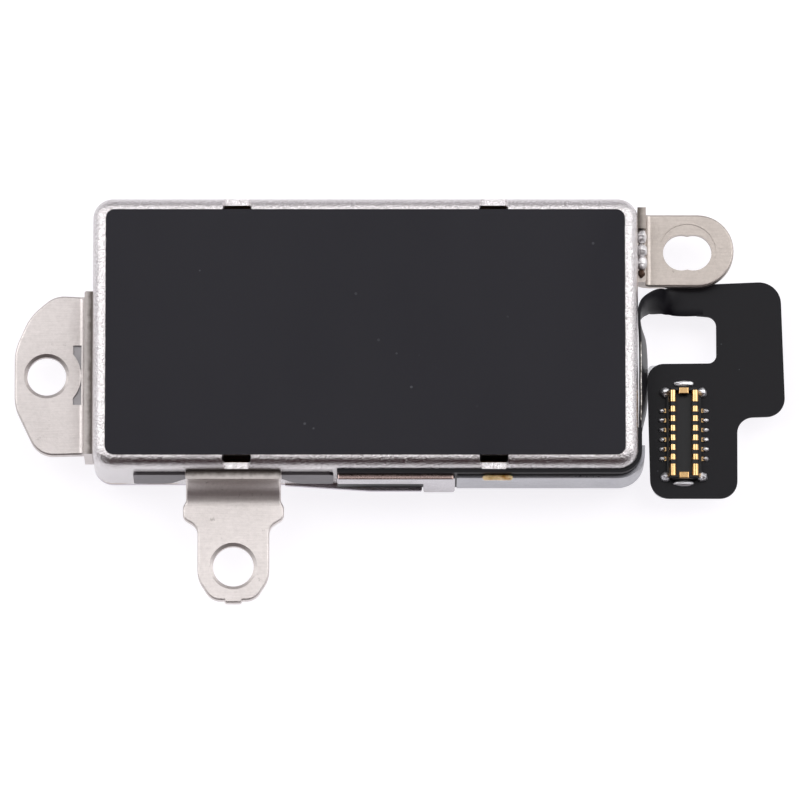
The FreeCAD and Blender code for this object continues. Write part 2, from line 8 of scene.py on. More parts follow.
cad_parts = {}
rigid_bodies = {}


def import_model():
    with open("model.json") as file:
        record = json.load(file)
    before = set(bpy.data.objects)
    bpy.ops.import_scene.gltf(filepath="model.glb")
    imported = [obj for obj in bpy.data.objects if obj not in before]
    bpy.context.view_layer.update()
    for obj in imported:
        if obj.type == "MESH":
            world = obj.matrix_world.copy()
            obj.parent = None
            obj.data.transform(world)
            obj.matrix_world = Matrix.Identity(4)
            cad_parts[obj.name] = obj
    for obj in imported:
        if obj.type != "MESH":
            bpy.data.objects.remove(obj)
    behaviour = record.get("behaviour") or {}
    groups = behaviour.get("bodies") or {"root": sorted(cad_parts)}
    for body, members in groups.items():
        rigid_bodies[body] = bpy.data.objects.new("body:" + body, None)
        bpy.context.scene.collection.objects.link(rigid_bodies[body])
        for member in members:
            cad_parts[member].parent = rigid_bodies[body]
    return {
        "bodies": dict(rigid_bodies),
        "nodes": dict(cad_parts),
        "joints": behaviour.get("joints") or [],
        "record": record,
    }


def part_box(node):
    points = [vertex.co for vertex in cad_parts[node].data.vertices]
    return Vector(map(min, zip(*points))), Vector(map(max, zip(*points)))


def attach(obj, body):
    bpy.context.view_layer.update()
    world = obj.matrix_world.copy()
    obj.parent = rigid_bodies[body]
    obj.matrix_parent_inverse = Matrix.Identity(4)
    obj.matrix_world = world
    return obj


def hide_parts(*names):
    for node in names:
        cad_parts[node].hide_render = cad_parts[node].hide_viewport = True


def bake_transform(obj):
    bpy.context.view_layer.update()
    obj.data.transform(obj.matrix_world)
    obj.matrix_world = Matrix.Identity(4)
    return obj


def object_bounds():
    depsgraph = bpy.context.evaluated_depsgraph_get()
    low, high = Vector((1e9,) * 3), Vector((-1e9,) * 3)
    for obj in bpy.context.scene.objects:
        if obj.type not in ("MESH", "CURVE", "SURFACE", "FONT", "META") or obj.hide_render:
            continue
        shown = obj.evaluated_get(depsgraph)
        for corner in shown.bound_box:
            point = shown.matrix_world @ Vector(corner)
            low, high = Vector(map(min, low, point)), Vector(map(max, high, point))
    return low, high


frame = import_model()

cad_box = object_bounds()
MM = 0.001
nodes = frame["nodes"]
scene = bpy.context.scene

# ------------------------------------------------------------------ can
# The can is two pieces of nickel-plated stainless sheet. The cover is deep-drawn and bead-blasted,
# so its edges are round and sparkle with a fine grain. The bottom plate is laser-welded on all
# round, and the weld leaves a brown heat tint along the seam.
CAN_TONE = (0.74, 0.72, 0.735)
CAN_SHADE = (0.50, 0.465, 0.465)
BASE_TONE = (0.72, 0.69, 0.74)
BASE_SHADE = (0.52, 0.49, 0.53)
HEAT_TINT = (0.36, 0.24, 0.15, 1)
PIT_TONE = (0.10, 0.08, 0.07, 1)
SEAM_Z = 0.3 * MM
TINT_REACH = 0.35 * MM


def start_group(name, inputs, outputs):
    """New shader group with named sockets; gives back the tree and its two end nodes."""
    tree = bpy.data.node_groups.new(name, "ShaderNodeTree")
    kinds = {"f": "NodeSocketFloat", "c": "NodeSocketColor"}
    for label, kind, value in inputs:
        socket = tree.interface.new_socket(name=label, in_out="INPUT", socket_type=kinds[kind])
        socket.default_value = value
    for label, kind in outputs:
        tree.interface.new_socket(name=label, in_out="OUTPUT", socket_type=kinds[kind])
    return tree, tree.nodes.new("NodeGroupInput"), tree.nodes.new("NodeGroupOutput")


def wire(tree, source, target):
    """Links one socket to another, or sets the target socket if the source is a plain value."""
    if isinstance(source, bpy.types.NodeSocket):
        tree.links.new(source, target)
    else:
        target.default_value = source


def math_node(tree, operation, first, second=0.0, clamp=False):
    node = tree.nodes.new("ShaderNodeMath")
    node.operation = operation
    node.use_clamp = clamp
    wire(tree, first, node.inputs[0])
    wire(tree, second, node.inputs[1])
    return node.outputs[0]


def blend_colour(tree, share, first, second):
    node = tree.nodes.new("ShaderNodeMix")
    node.data_type = "RGBA"
    wire(tree, share, node.inputs[0])
    wire(tree, first, node.inputs[6])
    wire(tree, second, node.inputs[7])
    return node.outputs[2]


def remap(tree, value, low, high, to_low=0.0, to_high=1.0):
    """Takes low..high to to_low..to_high, and holds the end values beyond."""
    node = tree.nodes.new("ShaderNodeMapRange")
    wire(tree, value, node.inputs[0])
    for socket, number in zip(node.inputs[1:5], (low, high, to_low, to_high)):
        wire(tree, number, socket)
    return node.outputs[0]


def place_vector(tree, stretch=(1, 1, 1)):
    """The piece's own coordinates in metres, stretched along each axis."""
    where = tree.nodes.new("ShaderNodeTexCoord")
    mapping = tree.nodes.new("ShaderNodeMapping")
    mapping.inputs["Scale"].default_value = stretch
    tree.links.new(where.outputs["Object"], mapping.inputs[0])
    return mapping.outputs[0]


def place_axes(tree):
    """The piece's own x, y and z in metres, as three separate values."""
    where = tree.nodes.new("ShaderNodeTexCoord")
    split = tree.nodes.new("ShaderNodeSeparateXYZ")
    tree.links.new(where.outputs["Object"], split.inputs[0])
    return split.outputs[:3]


def noise_value(tree, vector, scale, detail=2.0, roughness=0.55):
    """Soft noise from 0 to 1; scale is about how many lumps there are in a metre."""
    node = tree.nodes.new("ShaderNodeTexNoise")
    wire(tree, vector, node.inputs["Vector"])
    wire(tree, scale, node.inputs["Scale"])
    node.inputs["Detail"].default_value = detail
    node.inputs["Roughness"].default_value = roughness
    return node.outputs["Fac"]


def make_sheet_metal():
    """Plated sheet: a fine grain, rolling lines, soft stains and small dark pits."""
    inputs = [
        ("Tone", "c", (0.7, 0.7, 0.7, 1)),
        ("Shade", "c", (0.5, 0.5, 0.5, 1)),
        ("Grain scale", "f", 9000.0),
        ("Grain share", "f", 0.5),
        ("Line share", "f", 0.2),
        ("Stain share", "f", 0.3),
        ("Pits", "f", 0.3),
        ("Roughness low", "f", 0.25),
        ("Roughness high", "f", 0.45),
    ]
    outputs = [("Color", "c"), ("Roughness", "f"), ("Height", "f")]
    tree, given, out = start_group("sheet_metal", inputs, outputs)
    plain = place_vector(tree)
    rolled = place_vector(tree, (0.06, 1, 1))
    grain_scale = given.outputs["Grain scale"]
    noises = {
        "Grain share": remap(tree, noise_value(tree, plain, grain_scale, 3.0, 0.7), 0.3, 0.7),
        "Line share": remap(tree, noise_value(tree, rolled, 16000.0, 2.0), 0.35, 0.65),
        "Stain share": remap(tree, noise_value(tree, plain, 420.0, 3.0), 0.4, 0.72),
        "Pits": remap(tree, noise_value(tree, plain, 2600.0, 4.0, 0.6), 0.66, 0.74),
    }
    grain, lines, stains, pits = [
        math_node(tree, "MULTIPLY", value, given.outputs[label]) for label, value in noises.items()
    ]
    shade = math_node(tree, "ADD", grain, stains, clamp=True)
    shade = math_node(tree, "ADD", shade, lines, clamp=True)
    colour = blend_colour(tree, shade, given.outputs["Tone"], given.outputs["Shade"])
    tree.links.new(blend_colour(tree, pits, colour, PIT_TONE), out.inputs["Color"])
    satin = (given.outputs["Roughness low"], given.outputs["Roughness high"])
    tree.links.new(remap(tree, shade, 0.0, 1.0, *satin), out.inputs["Roughness"])
    height = math_node(tree, "SUBTRACT", math_node(tree, "ADD", grain, lines), pits)
    tree.links.new(height, out.inputs["Height"])
    return tree


def make_heat_tint():
    """Brown oxide band beside a laser-weld seam at a given height, broken up along its length."""
    inputs = [
        ("Base", "c", (0.6, 0.6, 0.6, 1)),
        ("Tint", "c", HEAT_TINT),
        ("Seam height", "f", SEAM_Z),
        ("Reach", "f", TINT_REACH),
    ]
    tree, given, out = start_group("heat_tint", inputs, [("Color", "c")])
    above = math_node(tree, "SUBTRACT", place_axes(tree)[2], given.outputs["Seam height"])
    away = math_node(tree, "DIVIDE", math_node(tree, "ABSOLUTE", above), given.outputs["Reach"])
    near = math_node(tree, "SUBTRACT", 1.0, away, clamp=True)
    patches = remap(tree, noise_value(tree, place_vector(tree), 900.0, 3.0), 0.45, 0.62)
    mask = math_node(tree, "MULTIPLY", near, patches)
    colour = blend_colour(tree, mask, given.outputs["Base"], given.outputs["Tint"])
    tree.links.new(colour, out.inputs["Color"])
    return tree


sheet_metal = make_sheet_metal()
heat_tint = make_heat_tint()


def start_material(name, metallic=0.0, roughness=0.5, colour=(0.5, 0.5, 0.5, 1)):
    """New material; gives back the material, its tree and its Principled node."""
    material = bpy.data.materials.new(name)
    material.use_nodes = True
    shader = material.node_tree.nodes["Principled BSDF"]
    shader.inputs["Metallic"].default_value = metallic
    shader.inputs["Roughness"].default_value = roughness
    shader.inputs["Base Color"].default_value = colour
    return material, material.node_tree, shader


def use_group(tree, group, **values):
    """Places a group in a material; a value's name is its socket's name with _ for each space."""
    node = tree.nodes.new("ShaderNodeGroup")
    node.node_tree = group
    for name, value in values.items():
        node.inputs[name.replace("_", " ")].default_value = value
    return node


def add_bump(tree, shader, height, depth):
    bump = tree.nodes.new("ShaderNodeBump")
    bump.inputs["Strength"].default_value = 1.0
    bump.inputs["Distance"].default_value = depth
    tree.links.new(height, bump.inputs["Height"])
    tree.links.new(bump.outputs[0], shader.inputs["Normal"])


def metal_material(name, depth, tone, shade, grain, lines, stains, pits, satin):
    """Metal face; grain is its scale and share, and satin its least and greatest roughness."""
    material, tree, shader = start_material(name, metallic=1.0)
    metal = use_group(
        tree, sheet_metal, Tone=(*tone, 1), Shade=(*shade, 1),
        Grain_scale=grain[0], Grain_share=grain[1], Line_share=lines, Stain_share=stains, Pits=pits,
        Roughness_low=satin[0], Roughness_high=satin[1],
    )
    tree.links.new(metal.outputs["Color"], shader.inputs["Base Color"])
    tree.links.new(metal.outputs["Roughness"], shader.inputs["Roughness"])
    add_bump(tree, shader, metal.outputs["Height"], depth)
    return material


def blasted_sheet(name, tone, shade, satin):
    """Sheet with the deep, even grain that bead-blasting leaves, and no rolling lines."""
    return metal_material(
        name, 0.017 * MM, tone, shade,
        grain=(9800.0, 0.8), lines=0.0, stains=0.1, pits=0.2, satin=satin,
    )


def cover_material():
    """Blasted sheet, with the seam's heat tint laid over its colour."""
    material = blasted_sheet("blasted_cover", CAN_TONE, CAN_SHADE, (0.14, 0.28))
    tree = material.node_tree
    shader = tree.nodes["Principled BSDF"]
    tint = use_group(tree, heat_tint)
    tree.links.new(shader.inputs["Base Color"].links[0].from_socket, tint.inputs["Base"])
    tree.links.new(tint.outputs["Color"], shader.inputs["Base Color"])
    return material


def dress(node, material):
    """Gives a CAD piece its material."""
    piece = nodes[node]
    piece.data.materials.clear()
    piece.data.materials.append(material)


dress("top_cover", cover_material())
dress("base_plate", blasted_sheet("blasted_base", BASE_TONE, BASE_SHADE, (0.45, 0.6)))

# ------------------------------------------------------------------ film
# Black self-adhesive film over the whole top of the can, die-cut with small corner radii. Its face
# is matte with a faint orange-peel, a few specks of dust and slight smears from handling.
FILM_TONE = (0.0060, 0.0054, 0.0112, 1)
SPECK_TONE = (0.055, 0.055, 0.066, 1)
SPECK_HEIGHT = 0.6


def make_dust():
    """Sparse specks and soft smears on a dark matte face."""
    inputs = [
        ("Base", "c", (0.01, 0.01, 0.01, 1)),
        ("Speck", "c", SPECK_TONE),
        ("Speck scale", "f", 900.0),
        ("Speck size", "f", 0.06),
    ]
    outputs = [("Color", "c"), ("Mask", "f"), ("Smear", "f")]
    tree, given, out = start_group("dust", inputs, outputs)
    cells = tree.nodes.new("ShaderNodeTexVoronoi")
    wire(tree, place_vector(tree), cells.inputs["Vector"])
    tree.links.new(given.outputs["Speck scale"], cells.inputs["Scale"])
    dot = math_node(tree, "LESS_THAN", cells.outputs["Distance"], given.outputs["Speck size"])
    few = remap(tree, noise_value(tree, place_vector(tree), 500.0, 2.0), 0.5, 0.6)
    mask = math_node(tree, "MULTIPLY", dot, few)
    smear = remap(tree, noise_value(tree, place_vector(tree, (1, 0.5, 1)), 160.0, 3.0), 0.35, 0.75)
    tree.links.new(mask, out.inputs["Mask"])
    tree.links.new(smear, out.inputs["Smear"])
    colour = blend_colour(tree, mask, given.outputs["Base"], given.outputs["Speck"])
    tree.links.new(colour, out.inputs["Color"])
    return tree


dust = make_dust()


def coated_plastic(name, tone, satin, depth, grain_scale, specks=(900.0, 0.06), specular=0.5):
    """Dark skin with a fine grain and smears; specks are their scale and the size of each."""
    material, tree, shader = start_material(name)
    shader.inputs["Specular IOR Level"].default_value = specular
    dusty = use_group(tree, dust, Base=tone, Speck_scale=specks[0], Speck_size=specks[1])
    tree.links.new(dusty.outputs["Color"], shader.inputs["Base Color"])
    rough = remap(tree, dusty.outputs["Smear"], 0.0, 1.0, *satin)
    tree.links.new(rough, shader.inputs["Roughness"])
    grain = noise_value(tree, place_vector(tree), grain_scale, 3.0)
    proud = math_node(tree, "MULTIPLY", dusty.outputs["Mask"], SPECK_HEIGHT)
    add_bump(tree, shader, math_node(tree, "ADD", grain, proud), depth)
    return material


matte_film = coated_plastic(
    "matte_film", FILM_TONE, (0.42, 0.55), 0.004 * MM, 7000.0, specular=0.28,
)
dress("cover_film", matte_film)

# ------------------------------------------------------------------ brackets
# Three mounting ears stamped from thicker nickel-plated steel, each bent from a flange that is
# spot-welded to a wall of the can. Their faces keep the sheet's warm satin and its rolling lines.
# Flange top edges are darkened, most next to the can wall; there the darkening is partly weld burn
# and partly painted shade of the crevice.
SHEARED_SOOT_AND_SHADE = (0.10, 0.085, 0.075, 1)
EDGE_BAND = 0.03 * MM
EDGE_FADE = 0.05 * MM
SOOT_AND_SHADE_NEAR = 0.08 * MM
SOOT_AND_SHADE_FAR = 0.28 * MM
SOOT_AND_SHADE_RAGGED = 0.04 * MM
SOOT_AND_SHADE_SHARES = (0.95, 0.35)
# Painted shade: the floor of the left bracket's pocket is darkened as a recess.
POCKET_SHADE_TONE = (0.34, 0.33, 0.34, 1)
POCKET_Z = (2.05 * MM, 2.09 * MM)
POCKET_X = (-13.24 * MM, -12.80 * MM)
# Painted reflection: the front bracket's wings are darkened as the dark reflection their faces
# show.
WING_REFLECTION_TONE = (0.17, 0.16, 0.17, 1)
WING_REACH = 2.16 * MM
WING_DEPTH = 0.14 * MM
FRONT_EAR_X = -5.95 * MM
MARK_FADE = 0.02 * MM


def in_range(tree, value, low, high, soft):
    """1 where value lies between low and high, fading to 0 over the soft distance beyond."""
    rising = remap(tree, value, low - soft, low)
    falling = remap(tree, value, high + soft, high)
    return math_node(tree, "MULTIPLY", rising, falling)


def bracket_material(node, tone, satin, marks):
    """Warm satin nickel; marks adds this bracket's weld burn, painted shade and painted dark
    reflection as (mask function, colour) pairs.
    """
    material = metal_material(
        node + "_nickel", 0.005 * MM, tone, [0.78 * part for part in tone],
        grain=(7000.0, 0.4), lines=0.22, stains=0.3, pits=0.35, satin=(satin, satin + 0.14),
    )
    tree = material.node_tree
    shader = tree.nodes["Principled BSDF"]
    colour = shader.inputs["Base Color"].links[0].from_socket
    axes = place_axes(tree)
    for make_mask, mark_tone in marks:
        colour = blend_colour(tree, make_mask(tree, *axes), colour, mark_tone)
    tree.links.new(colour, shader.inputs["Base Color"])
    dress(node, material)


def sheared_top_with_shade(tree, x, y, z):
    """The cut edge along the top of a flange: rough, and black next to the wall, partly burnt by
    the weld and partly painted shade of the crevice.
    """
    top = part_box("left_bracket")[1].z
    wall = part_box("top_cover")[1]
    beyond_x = math_node(tree, "SUBTRACT", math_node(tree, "ABSOLUTE", x), wall.x)
    beyond_y = math_node(tree, "SUBTRACT", math_node(tree, "ABSOLUTE", y), wall.y)
    away = math_node(tree, "MAXIMUM", beyond_x, beyond_y)
    wander = noise_value(tree, place_vector(tree), 3600.0, 3.0)
    ragged = math_node(tree, "ADD", away, remap(tree, wander, 0.3, 0.7, -SOOT_AND_SHADE_RAGGED, SOOT_AND_SHADE_RAGGED))
    soot_and_shade = remap(tree, ragged, SOOT_AND_SHADE_NEAR, SOOT_AND_SHADE_FAR, *SOOT_AND_SHADE_SHARES)
    edge = in_range(tree, z, top - EDGE_BAND, top + MM, EDGE_FADE)
    return math_node(tree, "MULTIPLY", edge, soot_and_shade)


def shaded_pocket_floor(tree, x, y, z):
    """Floor of the pocket beside the left bracket's bend, darkened as painted shade in the recess.
    """
    level = in_range(tree, z, *POCKET_Z, MARK_FADE)
    return math_node(tree, "MULTIPLY", level, in_range(tree, x, *POCKET_X, MARK_FADE))


def darkened_wing_reflection(tree, x, y, z):
    """The thin wings beside the front bracket's flange, darkened as a painted dark reflection."""
    wing_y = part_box("front_bracket")[1].y - WING_DEPTH
    beside = math_node(tree, "ABSOLUTE", math_node(tree, "SUBTRACT", x, FRONT_EAR_X))
    past = remap(tree, beside, WING_REACH, WING_REACH + MARK_FADE)
    return math_node(tree, "MULTIPLY", past, remap(tree, y, wing_y - 2 * MARK_FADE, wing_y))


edge_soot_and_shade_mark = (sheared_top_with_shade, SHEARED_SOOT_AND_SHADE)
pocket_shade_mark = (shaded_pocket_floor, POCKET_SHADE_TONE)
wing_reflection_mark = (darkened_wing_reflection, WING_REFLECTION_TONE)
# One nickel for all three brackets, but the front one's tone is set lighter and the right one's
# darker, painting how the light falls on each.
bracket_material("left_bracket", (0.66, 0.615, 0.60), 0.38, [edge_soot_and_shade_mark, pocket_shade_mark])
bracket_material("front_bracket", (0.78, 0.73, 0.71), 0.44, [edge_soot_and_shade_mark, wing_reflection_mark])
bracket_material("right_bracket", (0.56, 0.505, 0.465), 0.38, [edge_soot_and_shade_mark])

# The right flange is welded along its low edge: three long bright beads and a small brown one.
weld_metal = metal_material(
    "weld_metal", 0.003 * MM, tone=(0.90, 0.89, 0.90), shade=(0.66, 0.63, 0.62),
    grain=(6000.0, 0.2), lines=0.0, stains=0.4, pits=0.1, satin=(0.44, 0.6),
)
WELD_Y = (4.62, 3.99, 3.40)
WELD_REACH = Vector((0.25, 0.33, 0.30)) * MM
TACK_Y = 2.92
TACK_REACH = Vector((0.17, 0.19, 0.18)) * MM
TACK_SEED = 5
SCORCHED = (0.12, 0.075, 0.055, 1)
SCORCH_FROM = 3.14 * MM
SCORCH_FULL = 3.06 * MM

# A mound's mesh, and how its lumps and ripples run over a foot that reaches from -1 to 1.
MOUND_RINGS = 9
MOUND_SPOKES = 28
LUMP_SCALE = 1.6
SEED_STEP = 7.3
RIPPLE_RATE = 11
RIPPLE_BOW = 2.5


def tint_past(material, axis, start, full, tone):
    """Tints a material where its place along an axis goes past start, fully from full on."""
    tree = material.node_tree
    shader = tree.nodes["Principled BSDF"]
    share = remap(tree, place_axes(tree)[axis], start, full)
    colour = blend_colour(tree, share, shader.inputs["Base Color"].links[0].from_socket, tone)
    tree.links.new(colour, shader.inputs["Base Color"])


def add_mound(soup, foot, reach, seed, ripple=0.0, lumps=0.12, flat=0.5):
    """Solidified drop of metal: a round-topped mound with ripples across it, closed underneath."""
    rings = []
    for ring in range(1, MOUND_RINGS + 1):
        out = math.sin(ring / MOUND_RINGS * math.pi / 2)
        loop = []
        for spoke in range(MOUND_SPOKES):
            turn = 2 * math.pi * spoke / MOUND_SPOKES
            x = math.cos(turn) * out
            y = math.sin(turn) * out
            place = Vector((x * LUMP_SCALE, y * LUMP_SCALE, seed * SEED_STEP))
            swell = 1 + lumps * noise.noise(place)
            rise = max(0.0, 1 - out * out) ** flat
            rise *= 1 + ripple * math.sin(y * RIPPLE_RATE + RIPPLE_BOW * x * x + seed)
            spot = Vector((x * reach.x * swell, y * reach.y * swell, rise * reach.z * swell))
            loop.append(soup.verts.new(foot + spot))
        rings.append(loop)
    crown = soup.verts.new(foot + Vector((0, 0, reach.z)))
    base = soup.verts.new(foot - Vector((0, 0, reach.z * 0.02)))
    for spoke in range(MOUND_SPOKES):
        after = (spoke + 1) % MOUND_SPOKES
        soup.faces.new((crown, rings[0][spoke], rings[0][after]))
        soup.faces.new((base, rings[-1][after], rings[-1][spoke]))
        for inner, outer in zip(rings, rings[1:]):
            soup.faces.new((inner[spoke], outer[spoke], outer[after], inner[after]))


def add_piece(name, soup, material, sharp=None):
    """Turns a bmesh into a named piece with outward faces and smooth shading."""
    bmesh.ops.recalc_face_normals(soup, faces=soup.faces)
    mesh = bpy.data.meshes.new(name)
    soup.to_mesh(mesh)
    soup.free()
    mesh.materials.append(material)
    for face in mesh.polygons:
        face.use_smooth = True
    if sharp is not None:
        mesh.set_sharp_from_angle(angle=math.radians(sharp))
    piece = bpy.data.objects.new(name, mesh)
    scene.collection.objects.link(piece)
    return piece


def add_weld_row():
    low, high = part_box("weld_beads")
    middle_x = (low.x + high.x) / 2
    soup = bmesh.new()
    for seed, y in enumerate(WELD_Y):
        foot = Vector((middle_x, y * MM, low.z))
        add_mound(soup, foot, WELD_REACH, seed, ripple=0.04, lumps=0.16)
    add_mound(soup, Vector((middle_x, TACK_Y * MM, low.z)), TACK_REACH, TACK_SEED, lumps=0.3)
    row = add_piece("weld_row", soup, weld_metal)
    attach(row, "case")
    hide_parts("weld_beads")


tint_past(weld_metal, 1, SCORCH_FROM, SCORCH_FULL, SCORCHED)
add_weld_row()

# ------------------------------------------------------------------ front clip, guard and glue
# A bright stamped plate covers the place where the flex leaves the can. Beside it a grey steel
# strip guards the flex round the front right corner, with a bead of amber glue on its edge.
clip_steel = metal_material(
    "clip_steel", 0.004 * MM, tone=(0.60, 0.575, 0.61), shade=(0.38, 0.355, 0.37),
    grain=(9000.0, 0.4), lines=0.2, stains=0.4, pits=0.4, satin=(0.2, 0.36),
)
guard_steel = metal_material(
    "guard_steel", 0.003 * MM, tone=(0.40, 0.40, 0.43), shade=(0.30, 0.30, 0.33),
    grain=(7000.0, 0.3), lines=0.3, stains=0.3, pits=0.1, satin=(0.25, 0.4),
)
# Painted reflection: the clip's top edge is tinted brown as the brownish reflection it shows.
CLIP_EDGE_REFLECTION_TONE = (0.40, 0.30, 0.28, 1)
CLIP_REFLECTION_FROM = 0.05 * MM
CLIP_REFLECTION_FULL = 0.02 * MM
AMBER = (0.8, 0.5, 0.15, 1)
AMBER_DEEP = (0.50, 0.25, 0.06, 1)
AMBER_PALE = (0.95, 0.74, 0.42, 1)
clip_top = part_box("front_clip")[1].z
tint_past(clip_steel, 2, clip_top - CLIP_REFLECTION_FROM, clip_top - CLIP_REFLECTION_FULL, CLIP_EDGE_REFLECTION_TONE)
dress("front_clip", clip_steel)
dress("flex_guard", guard_steel)


def amber_material():
    """Clear amber resin with a glossy skin; light passes a little way into it."""
    material, tree, shader = start_material("amber_glue", roughness=0.12, colour=AMBER)
    tone = remap(tree, noise_value(tree, place_vector(tree), 2500.0, 2.0), 0.35, 0.65)
    colour = blend_colour(tree, tone, AMBER_DEEP, AMBER_PALE)
    tree.links.new(colour, shader.inputs["Base Color"])
    shader.inputs["Coat Weight"].default_value = 1.0
    shader.inputs["Coat Roughness"].default_value = 0.04
    shader.inputs["Subsurface Weight"].default_value = 0.2
    shader.inputs["Subsurface Scale"].default_value = 0.1 * MM
    add_bump(tree, shader, tone, 0.01 * MM)
    return material


dress("glue_bead", amber_material())

# ------------------------------------------------------------------ flex circuit
# One flexible printed circuit with black coverlay. It runs on edge round the can's corner, springs
# off the right wall, twists flat under the right ear and ends in the connector pad. Stuck beneath
# the pad is a thin stainless stiffener.
flex_cover = coated_plastic(
    "flex_coverlay", (0.0046, 0.0042, 0.0068, 1), (0.34, 0.46), 0.003 * MM, 5200.0,
    specks=(1200.0, 0.05), specular=0.22,
)
for name in ("flex_wall_strip", "flex_tail"):
    dress(name, flex_cover)

# The ribbon's middle line from wall to tail: x, y, z and width in millimetres, twist in degrees.
RIBBON = (
    (12.38, -4.36, 2.15, 3.30, 0),
    (12.45, -3.70, 2.20, 2.65, 3),
    (12.54, -2.95, 2.22, 2.40, 7),
    (12.57, -2.10, 2.25, 2.30, 9),
    (12.57, -1.30, 2.28, 2.20, 9),
    (12.56, -0.55, 2.30, 2.10, 9),
    (12.52, 0.15, 2.33, 2.00, 8),
    (12.43, 0.65, 2.35, 1.94, 4),
    (12.37, 1.00, 2.35, 1.88, 0),
    (12.44, 1.30, 2.33, 1.82, 5),
    (12.60, 1.53, 2.25, 1.74, 13),
    (12.80, 1.70, 2.15, 1.64, 21),
    (13.30, 1.90, 1.90, 1.42, 42),
    (13.65, 1.95, 1.60, 1.22, 66),
    (13.95, 1.98, 1.54, 1.32, 82),
    (14.45, 2.00, 1.541, 1.42, 89),
    (15.00, 2.02, 1.541, 1.44, 90),
    (15.30, 2.02, 1.541, 1.44, 90),
)
RIBBON_T = 0.12 * MM
RIBBON_STEPS = 7


def smooth_route(stations, steps):
    """Catmull-Rom curve through stations of any number of values each."""
    route = []
    last = len(stations) - 1
    for i in range(last):
        four = [stations[min(max(i + k, 0), last)] for k in (-1, 0, 1, 2)]
        for step in range(steps):
            t = step / steps
            spot = []
            for a, b, c, d in zip(*four):
                curve = (-a + c) * t + (2 * a - 5 * b + 4 * c - d) * t * t
                curve += (-a + 3 * b - 3 * c + d) * t ** 3
                spot.append(b + 0.5 * curve)
            route.append(spot)
    route.append(list(stations[last]))
    return route


def strap_rim(width, thickness):
    """Cross-section of a thin strap as (across, through) pairs: flat faces and rounded edges."""
    edge = thickness / 2
    half = width / 2 - edge
    rim = []
    for side in (1, -1):
        rim += [(side * half * share, side * edge) for share in (-1, -0.5, 0, 0.5, 1)]
        for step in range(1, 4):
            turn = math.pi * step / 4
            rim.append((side * (half + math.sin(turn) * edge), side * math.cos(turn) * edge))
    return rim


def round_rim(centre, across, through):
    """Ring of points round a centre; across and through are the ring's two half widths."""
    turns = [math.pi * step / 4 for step in range(8)]
    return [centre + across * math.cos(turn) + through * math.sin(turn) for turn in turns]


def add_loft(soup, sections, closed=False):
    """Skin over rings of points; closed joins the last to the first, else both ends are capped."""
    rings = [[soup.verts.new(point) for point in section] for section in sections]
    pairs = list(zip(rings, rings[1:]))
    if closed:
        pairs.append((rings[-1], rings[0]))
    else:
        soup.faces.new(rings[0])
        soup.faces.new(rings[-1])
    for one, two in pairs:
        for i in range(len(one)):
            j = (i + 1) % len(one)
            soup.faces.new((one[i], one[j], two[j], two[i]))


def ribbon_frames():
    """Centre, across and through directions and width at each step along the ribbon."""
    route = smooth_route(RIBBON, RIBBON_STEPS)
    frames = []
    for i, (x, y, z, width, twist) in enumerate(route):
        before = route[max(0, i - 1)]
        after = route[min(len(route) - 1, i + 1)]
        along = Vector((after[0] - before[0], after[1] - before[1], 0)).normalized()
        left = Vector((-along.y, along.x, 0))
        angle = math.radians(twist)
        across = Vector((0, 0, 1)) * math.cos(angle) + left * math.sin(angle)
        frames.append((Vector((x, y, z)) * MM, across, along.cross(across), width * MM))
    return frames


def add_ribbon():
    soup = bmesh.new()
    sections = []
    for centre, across, through, width in ribbon_frames():
        rim = strap_rim(width, RIBBON_T)
        sections.append([centre + across * a + through * b for a, b in rim])
    add_loft(soup, sections)
    ribbon = add_piece("flex_ribbon", soup, flex_cover, sharp=50)
    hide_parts("flex_loop")
    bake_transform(ribbon)


# Along the ribbon's bow the circuit's shield layer shows as a ragged silver line on the top edge.
SHIELD_FROM = -3.95 * MM
SHIELD_TO = -0.15 * MM
SHIELD_LEAST = 0.012 * MM
SHIELD_SPREAD = 0.035 * MM
RAGGED_STEP = 0.9
RAGGED_ROW = 3.1
shield_silver = metal_material(
    "shield_silver", 0.01 * MM, tone=(0.80, 0.78, 0.74), shade=(0.10, 0.085, 0.07),
    grain=(5200.0, 1.0), lines=0.0, stains=0.2, pits=0.6, satin=(0.2, 0.5),
)


def add_shield_edge():
    """The line sits on one corner of the ribbon's edge and is wider than it is thick."""
    soup = bmesh.new()
    sections = []
    bow = [frame for frame in ribbon_frames() if SHIELD_FROM < frame[0].y < SHIELD_TO]
    for step, (centre, across, through, width) in enumerate(bow):
        ragged = 0.5 + 0.5 * noise.noise(Vector((step * RAGGED_STEP, RAGGED_ROW, 0)))
        reach = SHIELD_LEAST + SHIELD_SPREAD * ragged
        out = width / 2 - 0.3 * reach
        spot = centre + across * out + through * (RIBBON_T * 0.32 + reach * 0.2)
        sections.append(round_rim(spot, across * 1.3 * reach, through * reach))
    add_loft(soup, sections)
    edge = add_piece("shield_edge", soup, shield_silver)
    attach(edge, "case")


add_ribbon()
add_shield_edge()
stiffener_steel = metal_material(
    "stiffener_steel", 0.003 * MM, tone=(0.62, 0.62, 0.64), shade=(0.50, 0.50, 0.52),
    grain=(8000.0, 0.2), lines=0.5, stains=0.2, pits=0.1, satin=(0.25, 0.4),
)
dress("connector_stiffener", stiffener_steel)

# ------------------------------------------------------------------ connector header
# Moulded black header with gold-plated contacts clipped over its two long rims, four longer power
# contacts at its corners, and an end clip at each end. All are soldered to the pad with tin solder.
CONTACT_ROWS = 6
CONTACT_PITCH = 0.4424 * MM
POWER_Y = 1.94 * MM

